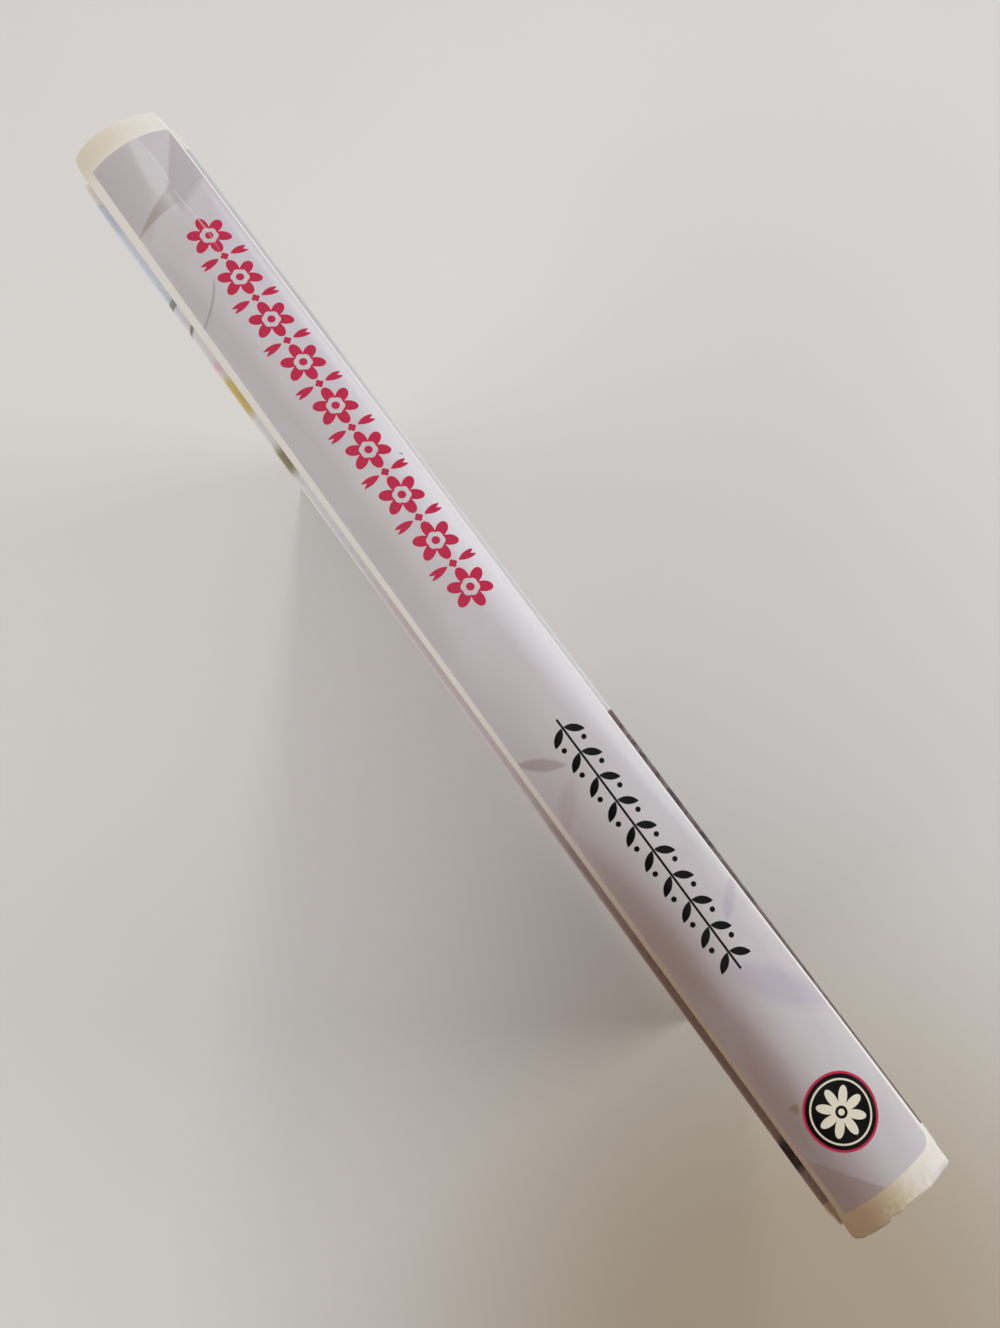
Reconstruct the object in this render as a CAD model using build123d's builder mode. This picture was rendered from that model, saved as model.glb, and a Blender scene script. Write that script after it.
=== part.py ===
from build123d import *
from math import asin, atan, cos, degrees, radians, sin, sqrt, tan
import os

# A closed hardcover book that stands on the fore edges of its two covers, spine up.
# X runs along the spine from head to tail, +Y is the front cover's side, +Z is up.
# The origin is the middle of the footprint, on the surface that the book stands on.

# Case
cover_height = 250.0
board_width = 188.0
board_thickness = 2.1
covering = 0.2
turn_in = 15.0
mitre_gap = 0.3
mitre_turn = 135.0
joint_width = 6.6
edge_radius = 0.5
corner_wear = 2.0

# Spine
spine_overhang = 1.5
spine_rise = 2.8
stiffener_thickness = 0.9
stiffener_side_gap = 0.35
fold_radius = 0.35
hollow_gap = 0.5
curved_gap = 0.1

# Page block and endpapers
block_thickness = 17.0
square = 3.0
section_count = 12
section_bulge = 0.25
shoulder_flare = 0.5
endpaper = 0.2
pastedown_step = 0.4

# Lining and headbands
gauze = 0.2
gauze_flange = 25.0
liner_thickness = 0.3
liner_end_gap = 1.5
liner_width_share = 0.9
bead_radius = 0.9
bead_stand_off = 0.7
bead_sink = 0.3
band_tape = 12.0
band_gap = 1.0

# Cover joints
hinge_drop = 2.4
hinge_slit = 0.1
groove_drop = 3.7
groove_bend = 2.0
groove_root = 0.4
flange_gap = 0.3

# Heights on the standing book
board_low = covering
board_top = board_low + board_width
fold_z = board_top + joint_width
crown_z = fold_z + spine_rise
hinge_z = fold_z - hinge_drop
groove_z = fold_z - groove_drop

# Places across the thickness, from the middle outwards
block_half = block_thickness / 2
spine_half = block_half + spine_overhang
shoulder_half = block_half + shoulder_flare
wrap_inner = block_half + 2 * endpaper
board_inner = wrap_inner + max(covering, gauze)
board_outer = board_inner + board_thickness
cover_outer = board_outer + covering

# Curved sheets over the spine share one centre line, from the outside inwards
spine_radius = (spine_half**2 + spine_rise**2) / (2 * spine_rise)
centre_z = crown_z - spine_radius
stiffener_outer = spine_radius - covering - curved_gap
stiffener_inner = stiffener_outer - stiffener_thickness
turn_in_outer = stiffener_inner - curved_gap
turn_in_inner = turn_in_outer - covering
liner_outer = turn_in_inner - hollow_gap
liner_inner = liner_outer - liner_thickness
gauze_outer = liner_inner - curved_gap
gauze_inner = gauze_outer - gauze
section_crest = gauze_inner - curved_gap
section_valley = section_crest - section_bulge
back_angle = degrees(asin(shoulder_half / section_valley))
shoulder_z = centre_z + section_valley * cos(radians(back_angle))
flange_z = shoulder_z - flange_gap

# The block's side stands upright past the covered boards, then leans out to its shoulder
lean_z = board_top + covering + curved_gap
lean_angle = degrees(atan(shoulder_flare / (shoulder_z - lean_z)))

# Lengths along the spine
board_height = cover_height - 2 * covering
block_height = cover_height - 2 * square
gauze_length = block_height - 2 * band_tape - 2 * band_gap


def across(x):
    """Plane across the spine, at x along it: its own axes are Y and Z."""
    return Plane.YZ.offset(x)


def along(y):
    """Plane along a cover, at y from the middle: its own axes are X and Z."""
    return Plane.XZ.offset(-y)


def spine_point(radius, angle):
    """Point on an arc about the spine's centre line, at an angle from straight up."""
    return (radius * sin(radians(angle)), centre_z + radius * cos(radians(angle)))


def bend_z(depth):
    """Height at which a layer that lies at a depth on the block's side starts to lean."""
    return lean_z - depth * tan(radians(lean_angle / 2))


def lean_y(depth, z):
    """Y of that layer at a height above its bend."""
    return block_half + depth + (z - bend_z(depth)) * tan(radians(lean_angle))


def side_sheet(depth, thickness, low_z, high_z, length):
    """Section of a sheet on the block's side: upright, then leaning out with the shoulder."""
    with BuildSketch(across(-length / 2)) as sheet:
        with BuildLine():
            Polyline(
                (block_half + depth, low_z),
                (block_half + depth, bend_z(depth)),
                (lean_y(depth, high_z), high_z),
                (lean_y(depth + thickness, high_z), high_z),
                (block_half + depth + thickness, bend_z(depth + thickness)),
                (block_half + depth + thickness, low_z),
                close=True,
            )
        make_face()
    return sheet.sketch


def curved_sheet(inner, outer, half_angle, length):
    """Section of a sheet over the spine, between two arcs about the shared centre line."""
    with BuildSketch(across(-length / 2)) as sheet:
        with BuildLine():
            over = [spine_point(outer, angle) for angle in (-half_angle, 0, half_angle)]
            under = [spine_point(inner, angle) for angle in (half_angle, 0, -half_angle)]
            ThreePointArc(*over)
            Line(over[2], under[0])
            ThreePointArc(*under)
            Line(under[2], over[0])
        make_face()
    return sheet.sketch


def spine_cap(half, radius, fold, x):
    """Section under an arc of the spine, with a side wall down to the hinge at each fold."""
    fold_height = centre_z + sqrt(radius**2 - half**2)
    with BuildSketch(across(x)) as cap:
        with BuildLine():
            ThreePointArc((-half, fold_height), (0, centre_z + radius), (half, fold_height))
            Polyline((half, fold_height), (half, hinge_z), (-half, hinge_z), (-half, fold_height))
        make_face()
        fillet(cap.vertices().group_by(Axis.Y)[-1], radius=fold)
    return cap.sketch


def cover_outline(y, margin):
    """Outline of a board grown by a margin, with its worn corner at the tail of the joint."""
    with BuildSketch(along(y)) as outline:
        with Locations((0, board_low + board_width / 2)):
            Rectangle(board_height + 2 * margin, board_width + 2 * margin)
        worn = outline.vertices().group_by(Axis.Y)[-1].sort_by(Axis.X)[-1]
        fillet(worn, radius=corner_wear + margin)
    return outline.sketch


def groove_flap():
    """Section of the covering paper from the hinge, down the groove, to the board's edge."""
    depth = board_inner - block_half
    root_y = board_inner + covering
    root_z = board_top + covering
    with BuildSketch(across(-cover_height / 2)) as flap:
        with BuildLine():
            FilletPolyline(
                (spine_half, hinge_z - hinge_slit),
                (lean_y(depth + covering, groove_z), groove_z),
                (root_y, root_z + groove_root),
                radius=groove_bend,
            )
            Polyline(
                (root_y, root_z + groove_root),
                (root_y + groove_root, root_z),
                (root_y + groove_root, board_top),
                (board_inner, board_top),
            )
            Line((board_inner, board_top), (board_inner, bend_z(depth)))
            FilletPolyline(
                (board_inner, bend_z(depth)),
                (lean_y(depth, groove_z), groove_z),
                (spine_half - covering, hinge_z - hinge_slit),
                radius=groove_bend,
            )
            Line((spine_half - covering, hinge_z - hinge_slit), (spine_half, hinge_z - hinge_slit))
        make_face()
    return flap.sketch


os.makedirs("parts", exist_ok=True)

# Sewn page block with a rounded back of sections and a hollow fore edge
with BuildPart() as page_block:
    section_angle = 2 * back_angle / section_count
    fore_rise = section_valley - sqrt(section_valley**2 - block_half**2)
    with BuildSketch(across(-block_height / 2)):
        with BuildLine():
            for section in range(section_count):
                start_angle = -back_angle + section * section_angle
                ThreePointArc(
                    spine_point(section_valley, start_angle),
                    spine_point(section_crest, start_angle + section_angle / 2),
                    spine_point(section_valley, start_angle + section_angle),
                )
            Polyline((shoulder_half, shoulder_z), (block_half, lean_z), (block_half, square))
            ThreePointArc((block_half, square), (0, square + fore_rise), (-block_half, square))
            Polyline((-block_half, square), (-block_half, lean_z), (-shoulder_half, shoulder_z))
        make_face()
    extrude(amount=block_height)
page_block.part.label = "page_block"
export_step(page_block.part, "parts/page_block.step")

# Gauze over the sewn sections, between the headband tapes
with BuildPart() as spine_mull:
    extrude(curved_sheet(gauze_inner, gauze_outer, back_angle, gauze_length), amount=gauze_length)
spine_mull.part.label = "spine_mull"
export_step(spine_mull.part, "parts/spine_mull.step")

# Kraft paper lining over the gauze and the tapes
with BuildPart() as spine_liner:
    liner_length = block_height - 2 * liner_end_gap
    liner_angle = back_angle * liner_width_share
    extrude(curved_sheet(liner_inner, liner_outer, liner_angle, liner_length), amount=liner_length)
spine_liner.part.label = "spine_liner"
export_step(spine_liner.part, "parts/spine_liner.step")

# Headbands: a bead that rests on the block's end, with a tape down the block's back
for end, name in ((-1, "head_band"), (1, "tail_band")):
    with BuildPart() as band:
        spine_axis = Axis((0, 0, centre_z), (1, 0, 0))
        side_plane = Plane((0, 0, centre_z), x_dir=(1, 0, 0), z_dir=(0, -1, 0))
        with BuildSketch(side_plane.rotated((-back_angle, 0, 0))):
            with Locations((end * (block_height / 2 + bead_stand_off), section_crest - bead_sink)):
                Circle(bead_radius)
            with Locations((end * (block_height - band_tape) / 2, section_crest)):
                Rectangle(band_tape, 2 * bead_radius, mode=Mode.SUBTRACT)
            with Locations((end * (block_height - band_tape) / 2, (gauze_inner + gauze_outer) / 2)):
                Rectangle(band_tape, gauze)
        revolve(axis=spine_axis, revolution_arc=2 * back_angle)
    band.part.label = name
    export_step(band.part, f"parts/{name}.step")

# Card stiffener under the spine paper
with BuildPart() as spine_stiffener:
    stiffener_half = spine_half - covering - stiffener_side_gap
    stiffener_angle = degrees(asin(stiffener_half / stiffener_outer))
    extrude(
        curved_sheet(stiffener_inner, stiffener_outer, stiffener_angle, board_height),
        amount=board_height,
    )
spine_stiffener.part.label = "spine_stiffener"
export_step(spine_stiffener.part, "parts/spine_stiffener.step")

# Covering paper over the spine, turned in round both ends of the stiffener
with BuildPart() as spine_paper:
    inner_half = spine_half - covering
    extrude(spine_cap(spine_half, spine_radius, fold_radius, -cover_height / 2), amount=cover_height)
    rims = spine_paper.edges().filter_by(Axis.X, reverse=True).filter_by(Axis.Z, reverse=True)
    fillet(rims.filter_by(Axis.Y, reverse=True), radius=edge_radius)
    extrude(
        spine_cap(inner_half, spine_radius - covering, fold_radius - covering, -board_height / 2),
        amount=board_height,
        mode=Mode.SUBTRACT,
    )
    for start in (-board_height / 2, board_height / 2 - turn_in + covering):
        extrude(
            spine_cap(inner_half, turn_in_outer, fold_radius, start),
            amount=turn_in - covering,
        )
    extrude(
        spine_cap(inner_half - covering, turn_in_inner, fold_radius, -cover_height / 2),
        amount=cover_height,
        mode=Mode.SUBTRACT,
    )
spine_paper.part.label = "spine_paper"
export_step(spine_paper.part, "parts/spine_paper.step")

# Both covers are made on the front side, and the back one is mirrored
for cover in ("front", "back"):
    # Free leaf of the endpaper, tipped to the block's side
    with BuildPart() as flyleaf:
        extrude(side_sheet(0, endpaper, square, shoulder_z, block_height), amount=block_height)
        if cover == "back":
            mirror(about=Plane.XZ, mode=Mode.REPLACE)
    flyleaf.part.label = f"{cover}_flyleaf"
    export_step(flyleaf.part, f"parts/{cover}_flyleaf.step")

    # Cover board
    with BuildPart() as board:
        extrude(cover_outline(board_inner, 0), amount=-board_thickness)
        fillet(board.edges().filter_by(Axis.Y, reverse=True), radius=edge_radius - covering)
        if cover == "back":
            mirror(about=Plane.XZ, mode=Mode.REPLACE)
    board.part.label = f"{cover}_board"
    export_step(board.part, f"parts/{cover}_board.step")

    # Flange of the spine's gauze, glued to the board and into the groove
    with BuildPart() as hinge_gauze:
        extrude(
            side_sheet(2 * endpaper, gauze, board_top - gauze_flange, flange_z, gauze_length),
            amount=gauze_length,
        )
        if cover == "back":
            mirror(about=Plane.XZ, mode=Mode.REPLACE)
    hinge_gauze.part.label = f"{cover}_hinge_gauze"
    export_step(hinge_gauze.part, f"parts/{cover}_hinge_gauze.step")

    # Pasted leaf of the endpaper, pressed down inside the turned-in edges
    with BuildPart() as pastedown:
        window_low = turn_in
        window_high = board_top - gauze_flange
        window_length = cover_height - 2 * turn_in
        extrude(side_sheet(endpaper, endpaper, square, flange_z, block_height), amount=block_height)
        tray_floor = wrap_inner - endpaper
        for y, inset, mode in ((wrap_inner, 0, Mode.ADD), (tray_floor, pastedown_step, Mode.SUBTRACT)):
            with BuildSketch(along(y)):
                with Locations((0, (window_low + window_high) / 2)):
                    Rectangle(window_length - 2 * inset, window_high - window_low - 2 * inset)
            extrude(amount=wrap_inner - board_inner, mode=mode)
        if cover == "back":
            mirror(about=Plane.XZ, mode=Mode.REPLACE)
    pastedown.part.label = f"{cover}_pastedown"
    export_step(pastedown.part, f"parts/{cover}_pastedown.step")

    # Covering paper of the cover: outer face, turned-in edges with mitred corners, groove flap
    with BuildPart() as cover_paper:
        extrude(cover_outline(wrap_inner, covering), amount=wrap_inner - cover_outer)
        rims = cover_paper.edges().filter_by(Axis.Y, reverse=True)
        fillet(rims.group_by(Axis.Y)[-1], radius=edge_radius)
        extrude(cover_outline(board_inner, 0), amount=-board_thickness, mode=Mode.SUBTRACT)
        with BuildSketch(along(wrap_inner)):
            with Locations((0, turn_in)):
                Rectangle(
                    cover_height - 2 * turn_in, board_top, align=(Align.CENTER, Align.MIN)
                )
            for end in (-1, 1):
                corner_middle = (end * (cover_height - turn_in) / 2, turn_in / 2)
                with Locations(Location(corner_middle, end * mitre_turn)):
                    Rectangle(turn_in * sqrt(2) + 2 * mitre_gap, mitre_gap)
        extrude(amount=wrap_inner - board_inner, mode=Mode.SUBTRACT)
        extrude(groove_flap(), amount=cover_height)
        if cover == "back":
            mirror(about=Plane.XZ, mode=Mode.REPLACE)
    cover_paper.part.label = f"{cover}_cover_paper"
    export_step(cover_paper.part, f"parts/{cover}_cover_paper.step")
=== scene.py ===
"""A closed hardcover cookbook that stands on its fore edges, spine up. Lengths are in millimetres until a mesh is
made."""

import functools
import math

import bmesh
import bpy
import numpy as np
from mathutils import Euler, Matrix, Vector


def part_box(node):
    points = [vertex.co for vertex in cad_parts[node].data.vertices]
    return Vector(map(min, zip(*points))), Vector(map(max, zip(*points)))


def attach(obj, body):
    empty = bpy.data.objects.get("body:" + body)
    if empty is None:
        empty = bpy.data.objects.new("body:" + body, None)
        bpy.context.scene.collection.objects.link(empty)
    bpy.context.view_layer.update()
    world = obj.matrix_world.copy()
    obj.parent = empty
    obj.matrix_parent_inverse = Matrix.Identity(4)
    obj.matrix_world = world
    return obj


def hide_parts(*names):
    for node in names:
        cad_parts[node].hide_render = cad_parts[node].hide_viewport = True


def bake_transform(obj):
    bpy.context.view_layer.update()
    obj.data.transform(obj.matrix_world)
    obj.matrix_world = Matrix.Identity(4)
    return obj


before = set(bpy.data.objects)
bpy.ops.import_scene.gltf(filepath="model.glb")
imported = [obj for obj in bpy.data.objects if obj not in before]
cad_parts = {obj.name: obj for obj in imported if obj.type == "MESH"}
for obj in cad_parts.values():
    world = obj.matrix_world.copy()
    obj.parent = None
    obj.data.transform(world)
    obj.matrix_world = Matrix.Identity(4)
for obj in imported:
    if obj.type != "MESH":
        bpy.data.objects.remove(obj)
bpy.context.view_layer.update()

MM = 0.001
merge_distance = 0.002


def corners(node):
    """Lowest and highest corner of a node of the frame."""
    low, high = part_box(node)
    return np.array(low) / MM, np.array(high) / MM


# Sizes of the case, from the frame
(_, _, hinge_z), (half_length, spine_half, crown_z) = corners("spine_paper")
(_, cover_inner, _), (_, cover_outer, _) = corners("front_cover_paper")
board_low, board_high = corners("front_board")
(_, _, block_foot), (block_half_length, shoulder_half, _) = corners("page_block")
(_, block_half, _), (_, _, shoulder_z) = corners("front_flyleaf")
joint_edge_z = board_high[2] + cover_outer - board_high[1]

# Sizes of the paper and the card, which the frame's boxes don't give
spine_rise = 2.8
paper = 0.16
fold_radius = 0.45
edge_radius = 0.5
turn_in = 15.0
mitre_gap = 0.3
groove_z = 191.1
groove_y = 9.69
root_y = 9.3
cap_depth = 1.5
lap_depth = 0.44
card_depth = 0.3
card_thickness = 0.9
board_chamfer = 0.35
leaf_thickness = 0.14
pasted_depth = 0.22
press_depth = 0.16
section_valley = 16.307
section_crest = section_valley + 0.25
tail_pinch = {1: 0.15, -1: 0.6}  # by side: 1 is the front cover, -1 the back cover
arc_radius = (spine_half**2 + spine_rise**2) / (2 * spine_rise)
arc_z = crown_z - arc_radius

# Fold beside the spine: its middle, its turn from the crown where it starts, and how far across the sheet from the
# crown the arc ends, the fold ends and the hinge lies
fold_y = spine_half - fold_radius
fold_z = arc_z + math.sqrt((arc_radius - fold_radius) ** 2 - fold_y**2)
fold_turn = math.atan2(fold_y, fold_z - arc_z)
arc_s = arc_radius * fold_turn
fold_s = arc_s + fold_radius * (math.pi / 2 - fold_turn)
hinge_s = fold_s + fold_z - hinge_z


def smooth(a, b, x):
    """Smoothstep from 0 at a to 1 at b."""
    t = np.clip((x - a) / (b - a), 0, 1)
    return t * t * (3 - 2 * t)


def bump(x, middle, width):
    """Bell curve of height 1 about a middle."""
    return np.exp(-(((x - middle) / width) ** 2))


def spread(*values):
    """Grid of points or of sheet places from their coordinates."""
    return np.stack(np.broadcast_arrays(*values), -1)


def grid_faces(rows, columns, start):
    """Quads of a grid of points that is stored row by row."""
    at = start + np.arange(rows * columns).reshape(rows, columns)
    return np.stack([at[:-1, :-1], at[:-1, 1:], at[1:, 1:], at[1:, :-1]], -1).reshape(-1, 4)


def add_object(name, data):
    """Object with a mesh, a lamp or a camera, in the scene."""
    thing = bpy.data.objects.new(name, data)
    bpy.context.scene.collection.objects.link(thing)
    return thing


def make_piece(name, patches, material, flip=False, closed=False):
    """One mesh from patches: each is a grid of points (rows, columns, 3) and its sheet places (rows, columns, 2). A
    closed piece has its faces turned outwards once its patches are merged; a sheet's are turned by flip."""
    points, places, faces, start = [], [], [], 0
    for grid, sheet in patches:
        rows, columns = grid.shape[:2]
        points.append(grid.reshape(-1, 3))
        places.append(np.broadcast_to(sheet, (rows, columns, 2)).reshape(-1, 2))
        faces.append(grid_faces(rows, columns, start))
        start += rows * columns
    points, places, faces = np.concatenate(points), np.concatenate(places), np.concatenate(faces)
    if flip:
        faces = faces[:, ::-1]
    mesh = bpy.data.meshes.new(name)
    mesh.from_pydata((points * MM).tolist(), [], faces.tolist())
    loops = np.empty(len(mesh.loops), np.int32)
    mesh.loops.foreach_get("vertex_index", loops)
    layer = mesh.uv_layers.new(name="sheet")
    layer.data.foreach_set("uv", (places[loops] * MM).astype(np.float32).ravel())
    shell = bmesh.new()
    shell.from_mesh(mesh)
    bmesh.ops.remove_doubles(shell, verts=shell.verts, dist=merge_distance * MM)
    bmesh.ops.dissolve_degenerate(shell, edges=shell.edges, dist=merge_distance * MM / 10)
    if closed:
        bmesh.ops.recalc_face_normals(shell, faces=shell.faces)
    shell.to_mesh(mesh)
    shell.free()
    mesh.shade_smooth()
    mesh.update()
    mesh.materials.append(material)
    piece = add_object(name, mesh)
    return piece


def give_thickness(piece, thickness):
    """Gives a sheet its thickness, inwards from its face."""
    wall = piece.modifiers.new("thickness", "SOLIDIFY")
    wall.thickness = thickness * MM
    wall.offset = -1.0
    wall.use_even_offset = False


# Covering paper


def spine_section(s):
    """Outer face over the spine at a distance s across the sheet from the crown: an arc, a small round fold at each
    side, and an upright strip down to the hinge. Gives y, z and the normal's y and z."""
    side, m = np.sign(s), np.abs(s)
    on_arc, on_fold = m < arc_s, (m >= arc_s) & (m < fold_s)
    angle = np.where(on_fold, fold_turn + (m - arc_s) / fold_radius, math.pi / 2)
    angle = np.where(on_arc, m / arc_radius, angle)
    y = np.where(on_arc, arc_radius * np.sin(angle), fold_y + fold_radius * np.sin(angle))
    z = np.where(on_arc, arc_z + arc_radius * np.cos(angle), fold_z + fold_radius * np.cos(angle))
    z = np.where(m >= fold_s, fold_z - (m - fold_s), z)
    return side * y, z, side * np.sin(angle), np.cos(angle)


def wrap_end(depth, radius, turn):
    """Path of paper round an end: a quarter round, the end face, a quarter round, and the turned-in edge. For rows
    of depth and turn it gives how far in from the end plane, how deep, and how far along the sheet each column
    lies."""
    depth, radius, turn = (np.asarray(a, float).reshape(-1, 1) for a in (depth, radius, turn))
    quarter = np.linspace(0, math.pi / 2, quarter_steps)[None, :]
    middle = np.linspace(0, 1, 5)[None, 1:-1]
    reach = np.linspace(0, 1, 8)[None, 1:] * np.maximum(turn - radius, 0)
    flat = depth - 2 * radius
    bend = radius * math.pi / 2
    out, sink = radius * np.sin(quarter), radius - radius * np.cos(quarter)
    inset = [radius - out, 0 * middle * radius, sink, radius + reach]
    deep = [sink, radius + flat * middle, depth - radius + out, depth + 0 * reach]
    along = [radius * quarter, bend + flat * middle, bend + flat + radius * quarter, 2 * bend + flat + reach]
    rows = max(len(depth), len(turn))
    return tuple(np.concatenate([np.broadcast_to(a, (rows, a.shape[1])) for a in part], axis=1)
                 for part in (inset, deep, along))


def wrapped(section, s, depth, radius, turn, columns=None):
    """Rows of a section carried along the book, each wrapped round both ends: point = section - depth * normal. It
    takes the first columns of the path round an end, or all."""
    y, z, ny, nz = (a[:, None] for a in section)
    end_path = (a[:, :columns] for a in wrap_end(depth, radius, turn))
    inset, deep, along = (np.broadcast_to(a, (len(s), a.shape[1])) for a in end_path)
    start = np.broadcast_to(half_length - np.asarray(radius, float).reshape(-1, 1), (len(s), 1))
    main = x_share[None, 1:-1] * start
    x = np.concatenate([-(half_length - inset[:, ::-1]), main, half_length - inset], axis=1)
    d = np.concatenate([deep[:, ::-1], 0 * main, deep], axis=1)
    sheet_x = np.concatenate([-(start + along[:, ::-1]), main, start + along], axis=1)
    return spread(x, y - d * ny, z - d * nz), spread(sheet_x, s[:, None])


def round_corner(grid, axis, corner, radius):
    """Rounds a corner seen along the third axis: the square of the radius at the corner becomes a quarter disc."""
    a_axis, b_axis = axis
    a_sign, b_sign = np.sign(corner[0]), np.sign(corner[1])
    a = np.clip((grid[..., a_axis] * a_sign - (abs(corner[0]) - radius)) / radius, 0, None)
    b = np.clip((grid[..., b_axis] * b_sign - (abs(corner[1]) - radius)) / radius, 0, None)
    inside = (a > 0) & (b > 0)
    a_one, b_one = np.clip(a, 0, 1), np.clip(b, 0, 1)
    a_new = a * np.sqrt(1 - b_one**2 / 2)
    b_new = b * np.sqrt(1 - a_one**2 / 2)
    out = grid.copy()
    out[..., a_axis] -= np.where(inside, (a - a_new) * radius * a_sign, 0)
    out[..., b_axis] -= np.where(inside, (b - b_new) * radius * b_sign, 0)
    return out


# Columns of a quarter round, and a sheet's columns as shares of the half length, closer together near its ends
quarter_steps = 6
near_end = 1 - np.array([0.25, 0.6, 1, 1.5, 2, 2.6, 3.3, 4.2, 5.3, 6.6, 8.2]) / half_length
x_share = np.r_[-1, -near_end, np.linspace(-0.92, 0.92, 75), near_end[::-1], 1]


def wear_spine(grid):
    """Bumps and pulls of the spine's paper: the head is worn a little slant, the tail has a shallow ragged dent with
    a step at its back end, the front fold spreads towards the tail, and both folds spread at the tail's cap."""
    x, y, z = grid[..., 0], grid[..., 1], grid[..., 2]
    head = 0.15 + 0.45 * smooth(-3, 6, y) - 0.1 * smooth(7, 10, y) + 0.05 * np.sin(1.9 * y)
    notch = smooth(-3.75, -3.35, y) * smooth(5.6, 2.2, y)
    tail = 0.02 + 0.36 * notch + 0.3 * bump(y, -3.15, 0.55) + 0.05 * np.sin(3.1 * y + 1) + 0.03 * np.sin(7.3 * y)
    rag = 0.07 * notch * np.sin(5.7 * y + 2 * np.sin(2.3 * y))
    at_head, at_tail = smooth(-half_length + 6, -half_length, x), smooth(half_length - 3.5, half_length, x)
    out = grid.copy()
    out[..., 0] += head * at_head - (np.maximum(tail, 0) + rag) * at_tail
    crumple = bump(x, half_length - 1.4, 1.5) * smooth(-5.5, -3, y) * smooth(7.5, 4.5, y)
    out[..., 2] -= crumple * (0.1 + 0.07 * np.sin(4.1 * y + 1.7 * x) + 0.05 * np.sin(7.9 * y - 3 * x))
    out[..., 2] -= 0.12 * bump(x, -half_length, 2.2) * bump(y, 5, 4)
    out[..., 2] -= 0.35 * smooth(half_length - 1.2, half_length, x) * bump(y, 8.6, 2.2)
    front = 0.52 * smooth(40, 117, x) - 0.22 - 0.6 * smooth(8 - half_length, -half_length, x)
    back = 0.42 * smooth(half_length - 7, half_length - 1.5, x) - 0.3 * smooth(7 - half_length, -half_length, x)
    side = np.where(y > 0, front, back) * np.sign(y)
    out[..., 1] += side * smooth(5.5, 9.6, np.abs(y)) * smooth(hinge_z, hinge_z + 1.6, z)
    for corner, radius in (((-1, -1), 2.2), ((-1, 1), 1.8), ((1, -1), 1.3), ((1, 1), 0.5)):
        out = round_corner(out, (0, 1), (corner[0] * half_length, corner[1] * spine_half), radius)
    return out


def make_spine_covering(material):
    """Covering paper over the spine: arc, folds and side strips, turned in round both ends of the card."""
    half = np.r_[np.linspace(0, arc_s - 1.3, 34), np.linspace(arc_s - 1.1, arc_s, 8),
                 np.linspace(arc_s, fold_s, 9)[1:], np.linspace(fold_s + 0.08, hinge_s, 8)]
    s = np.r_[-half[:0:-1], half]
    depth = lap_depth + (cap_depth - lap_depth) * smooth(arc_s, arc_s - 1.1, np.abs(s))
    radius = np.minimum(edge_radius, depth / 2)
    grid, sheet = wrapped(spine_section(s), s, depth, radius, turn_in)
    piece = make_piece("spine_covering", [(wear_spine(grid), sheet)], material)
    give_thickness(piece, paper)
    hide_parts("spine_paper")
    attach(piece, "book_block")


def make_spine_card(material):
    """Card under the spine's paper, with the same bumps at its ends."""
    half = arc_s - 0.55
    s = np.linspace(-half, half, 45)
    y, z, ny, nz = spine_section(s)
    x = np.linspace(-1, 1, 61) * (half_length - paper - 0.1)
    top, under = (spread(x, (y - depth * ny)[:, None], (z - depth * nz)[:, None])
                  for depth in (card_depth, card_depth + card_thickness))
    ring = np.r_[top, under[::-1], top[:1]]
    ends = [np.stack([top[:, 0], under[:, 0]], 0), np.stack([under[:, -1], top[:, -1]], 0)]
    patches = [(wear_spine(g), g[..., :2]) for g in [ring] + ends]
    piece = make_piece("spine_card", patches, material, closed=True)
    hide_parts("spine_stiffener")
    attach(piece, "book_block")


def rounded_path(points, radii, steps):
    """A path with round corners, as a list of parts: each straight and each bend gives y, z and the normal to its
    left, sampled evenly, with a row held close to each end of a straight."""
    points = [np.array(p, float) for p in points]
    parts, at = [], points[0]
    for k in range(1, len(points)):
        before = points[k] - points[k - 1]
        before /= np.linalg.norm(before)
        last = k == len(points) - 1
        cut = 0.0
        if not last:
            after = points[k + 1] - points[k]
            after /= np.linalg.norm(after)
            turn = math.atan2(before[0] * after[1] - before[1] * after[0], before @ after)
            cut = radii[k] * math.tan(abs(turn) / 2)
        end = points[k] - before * cut
        length = np.linalg.norm(end - at)
        t = np.linspace(0, 1, steps[k - 1])
        if steps[k - 1] > 3:
            t[1], t[-2] = min(0.1 / length, t[1]), max(1 - 0.1 / length, t[-2])
        line = at + (end - at) * t[:, None]
        normal = np.broadcast_to([-before[1], before[0]], line.shape)
        parts.append((line[:, 0], line[:, 1], normal[:, 0], normal[:, 1]))
        if not last:
            side = math.copysign(1, turn)
            left = np.array([-before[1], before[0]])
            centre = end + left * radii[k] * side
            angle = np.linspace(0, turn, 7)[:, None]
            spoke = -left * side
            c, s = np.cos(angle), np.sin(angle)
            ray = np.concatenate([spoke[0] * c - spoke[1] * s, spoke[0] * s + spoke[1] * c], 1)
            bend = centre + radii[k] * ray
            facing = -ray * side
            parts.append((bend[:, 0], bend[:, 1], facing[:, 0], facing[:, 1]))
            at = points[k] + after * cut
    return parts


def join_parts(parts):
    """Puts parts of a path one after another, without the doubled joins."""
    return tuple(np.concatenate([p[i] if k == 0 else p[i][1:] for k, p in enumerate(parts)]) for i in range(4))


def path_length(section, start):
    """Distance along a section from its first point, plus a start."""
    return start + np.r_[0, np.cumsum(np.hypot(np.diff(section[0]), np.diff(section[1])))]


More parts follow.
